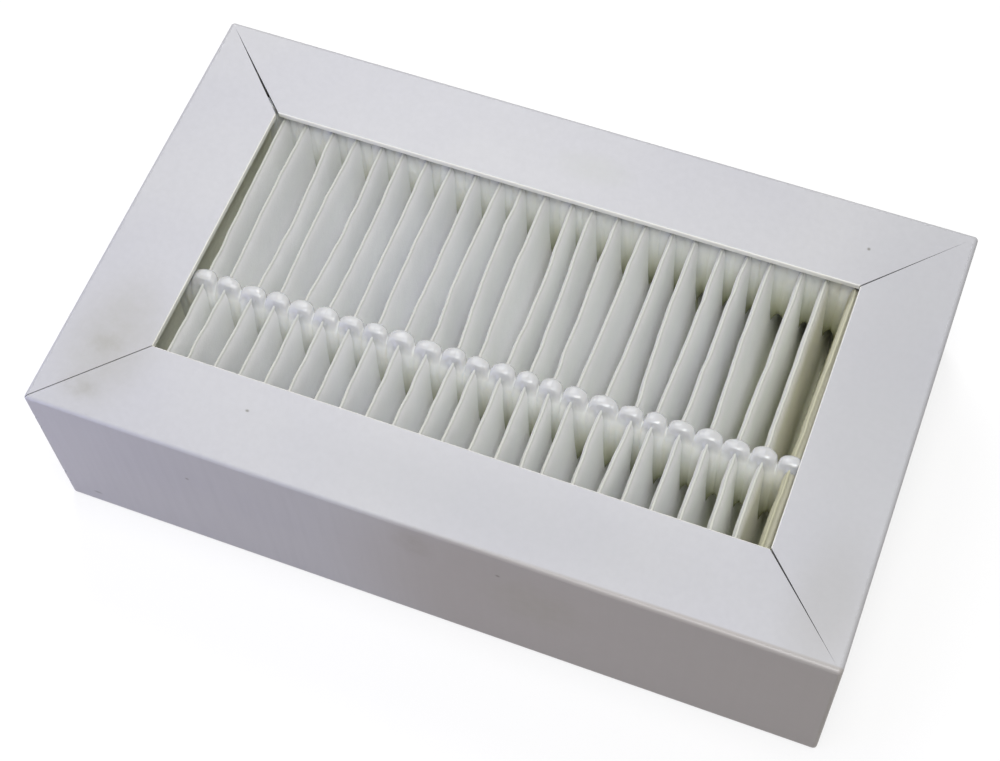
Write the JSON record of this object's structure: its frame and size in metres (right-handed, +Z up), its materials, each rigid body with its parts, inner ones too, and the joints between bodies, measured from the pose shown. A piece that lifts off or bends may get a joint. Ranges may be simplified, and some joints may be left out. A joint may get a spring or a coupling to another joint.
{
  "type": "pleated panel air filter",
  "caption": "Rectangular pleated air filter panel: zigzag fibre sheet with hot-melt spacer beads, glued in a deep white plastic channel frame with mitred lips.",
  "frame": {"origin": "middle of the underside, on the plane of the lower lips", "axes": "+X along the long side, +Y to the rear long wall, +Z up to the face with the crests of the pleats seen in use; the closing corner of the frame is at -X, -Y"},
  "size_m": [0.19, 0.113, 0.05],
  "materials": {
    "frame_plastic": "satin cool white, faintly smudged",
    "filter_media": "matt off-white fibre web",
    "hot_melt": "translucent white, softly glossy",
    "sealing_adhesive": "milky cream"
  },
  "bodies": {
    "root": {"frame": "frame_plastic", "pleated_media": "filter_media", "bead_top_front": "hot_melt", "bead_top_rear": "hot_melt", "bead_bottom_front": "hot_melt", "bead_bottom_rear": "hot_melt", "side_seal_front": "sealing_adhesive", "side_seal_rear": "sealing_adhesive", "end_seal_left": "sealing_adhesive", "end_seal_right": "sealing_adhesive"}
  },
  "joints": []
}
